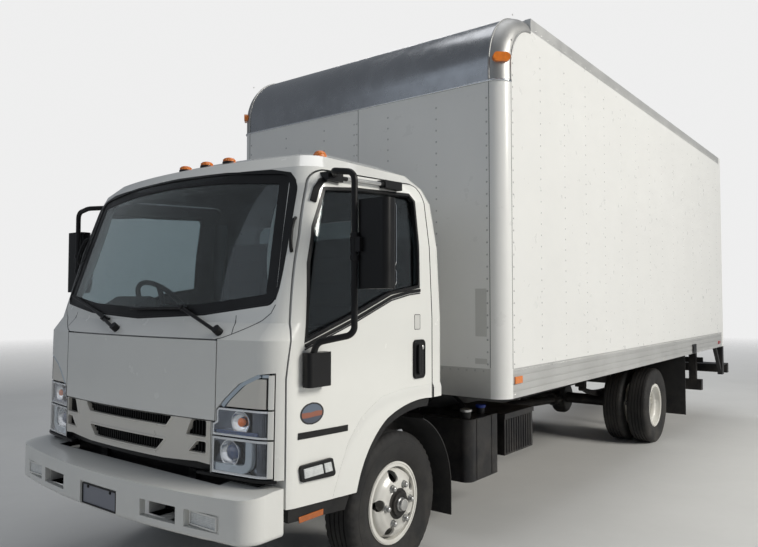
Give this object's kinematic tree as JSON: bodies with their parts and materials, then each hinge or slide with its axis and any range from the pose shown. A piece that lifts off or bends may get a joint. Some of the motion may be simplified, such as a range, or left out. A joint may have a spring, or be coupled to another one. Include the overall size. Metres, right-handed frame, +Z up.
{
  "type": "box truck",
  "caption": "Cab-over delivery truck with a tilting cab, steered front wheels, twin rear wheels and a closed box body.",
  "frame": {"origin": "on the ground under the centre of the whole truck's bounding box", "axes": "+X forward, +Y to the truck's left, +Z up"},
  "size_m": [8.43, 2.756, 3.3819],
  "materials": {
    "cab_paint": "gloss, light dust low down",
    "bumper_paint": "semi-gloss with scuffs",
    "frame_black": "semi-gloss chassis black",
    "engine": "rough",
    "wheel_paint": "gloss white with dust",
    "tyre": "matte",
    "glass": "clear, slightly green",
    "lamp_lens": "clear",
    "grille_silver": "satin silver",
    "black_plastic": "matte, moulded",
    "cabin_plastic": "grained",
    "amber_lens": "ribbed lens",
    "red_lens": "ribbed lens",
    "seat_fabric": "woven",
    "body_white": "gloss white sheet",
    "nose_metal": "bright sheet, slightly rippled",
    "cast_aluminium": "cast, finely pitted",
    "rail_aluminium": "mill finish",
    "floor_wood": "laminated planks, worn",
    "tank_metal": "satin black",
    "exhaust_steel": "dull",
    "flap_rubber": "matte"
  },
  "bodies": {
    "chassis": {"chassis_frame": "frame_black", "front_bumper": "bumper_paint", "front_axle_beam": "frame_black", "rear_axle": "frame_black", "leaf_springs": "frame_black", "engine_block": "engine", "drive_shaft": "frame_black", "body_sills": "frame_black", "cross_sills": "frame_black", "body_floor": "floor_wood", "body_rails": "rail_aluminium", "side_walls": "body_white", "front_wall": "body_white", "corner_posts": "body_white", "nose_caps": "cast_aluminium", "nose_panel": "nose_metal", "roof_panel": "body_white", "rear_frame": "body_white", "roll_up_door": "body_white", "rear_bumper": "frame_black", "amber_lamps": "amber_lens", "red_lamps": "red_lens", "additive_tank": "tank_metal", "battery_box": "tank_metal", "fuel_tank": "tank_metal", "exhaust": "exhaust_steel", "mudguards": "flap_rubber"},
    "cab": {"cab_shell": "cab_paint", "cab_glass": "glass", "headlamps": "lamp_lens", "grille": "grille_silver", "grille_mesh": "black_plastic", "cab_trims": "black_plastic", "roof_lamps": "amber_lens", "wipers": "black_plastic", "seat_bases": "cabin_plastic", "seat_cushions": "seat_fabric", "seat_backs": "seat_fabric", "dashboard": "cabin_plastic"},
    "front_lid": {"front_panel": "cab_paint"},
    "steering_wheel": {"steering_wheel": "cabin_plastic"},
    "left_door": {"door_left": "cab_paint", "door_glass_left": "glass", "mirror_left": "black_plastic", "door_hardware_left": "black_plastic"},
    "right_door": {"door_right": "cab_paint", "door_glass_right": "glass", "mirror_right": "black_plastic", "door_hardware_right": "black_plastic"},
    "left_knuckle": {"knuckle_left": "frame_black"},
    "right_knuckle": {"knuckle_right": "frame_black"},
    "tie_rod": {"tie_rod": "frame_black"},
    "front_left_wheel": {"wheel_front_left": "wheel_paint", "tyre_front_left": "tyre"},
    "front_right_wheel": {"wheel_front_right": "wheel_paint", "tyre_front_right": "tyre"},
    "rear_left_wheels": {"wheels_rear_left": "wheel_paint", "tyres_rear_left": "tyre"},
    "rear_right_wheels": {"wheels_rear_right": "wheel_paint", "tyres_rear_right": "tyre"}
  },
  "joints": [
    {"name": "cab_tilt", "type": "hinge", "parent": "chassis", "child": "cab", "pos_m": [3.987, 0, 0.745], "axis": [0, 1, 0], "range_deg": [0, 45]},
    {"name": "lid_lift", "type": "hinge", "parent": "cab", "child": "front_lid", "pos_m": [4.061, 0, 1.318], "axis": [0, -1, 0], "range_deg": [0, 70]},
    {"name": "left_door_swing", "type": "hinge", "parent": "cab", "child": "left_door", "pos_m": [3.9, 1.004, 1.3], "axis": [0, 0, -1], "range_deg": [0, 75]},
    {"name": "right_door_swing", "type": "hinge", "parent": "cab", "child": "right_door", "pos_m": [3.9, -1.004, 1.3], "axis": [0, 0, 1], "range_deg": [0, 75]},
    {"name": "steer_left", "type": "hinge", "parent": "chassis", "child": "left_knuckle", "pos_m": [2.995, 0.712, 0.386], "axis": [0, 0, 1], "range_deg": [-40, 40]},
    {"name": "steer_right", "type": "hinge", "parent": "chassis", "child": "right_knuckle", "pos_m": [2.995, -0.712, 0.386], "axis": [0, 0, 1], "range_deg": [-40, 40]},
    {"name": "steering_wheel_turn", "type": "hinge", "parent": "cab", "child": "steering_wheel", "pos_m": [3.54, -0.43, 1.445], "axis": [-0.766, 0, 0.6428], "range_deg": [-720, 720]},
    {"name": "tie_rod_slide", "type": "slide", "parent": "chassis", "child": "tie_rod", "axis": [0, 1, 0], "range_m": [-0.105, 0.105]},
    {"name": "front_left_spin", "type": "hinge", "parent": "left_knuckle", "child": "front_left_wheel", "pos_m": [2.995, 0.832, 0.386], "axis": [0, 1, 0], "continuous": true},
    {"name": "front_right_spin", "type": "hinge", "parent": "right_knuckle", "child": "front_right_wheel", "pos_m": [2.995, -0.832, 0.386], "axis": [0, 1, 0], "continuous": true},
    {"name": "rear_left_spin", "type": "hinge", "parent": "chassis", "child": "rear_left_wheels", "pos_m": [-1.475, 0.825, 0.386], "axis": [0, 1, 0], "continuous": true},
    {"name": "rear_right_spin", "type": "hinge", "parent": "chassis", "child": "rear_right_wheels", "pos_m": [-1.475, -0.825, 0.386], "axis": [0, 1, 0], "continuous": true}
  ],
  "couplings": [
    {"joint": "steer_right", "follows": "steer_left", "ratio": 1},
    {"joint": "steering_wheel_turn", "follows": "steer_left", "ratio": 18},
    {"joint": "tie_rod_slide", "follows": "steer_left", "m_per_rad": -0.15}
  ]
}
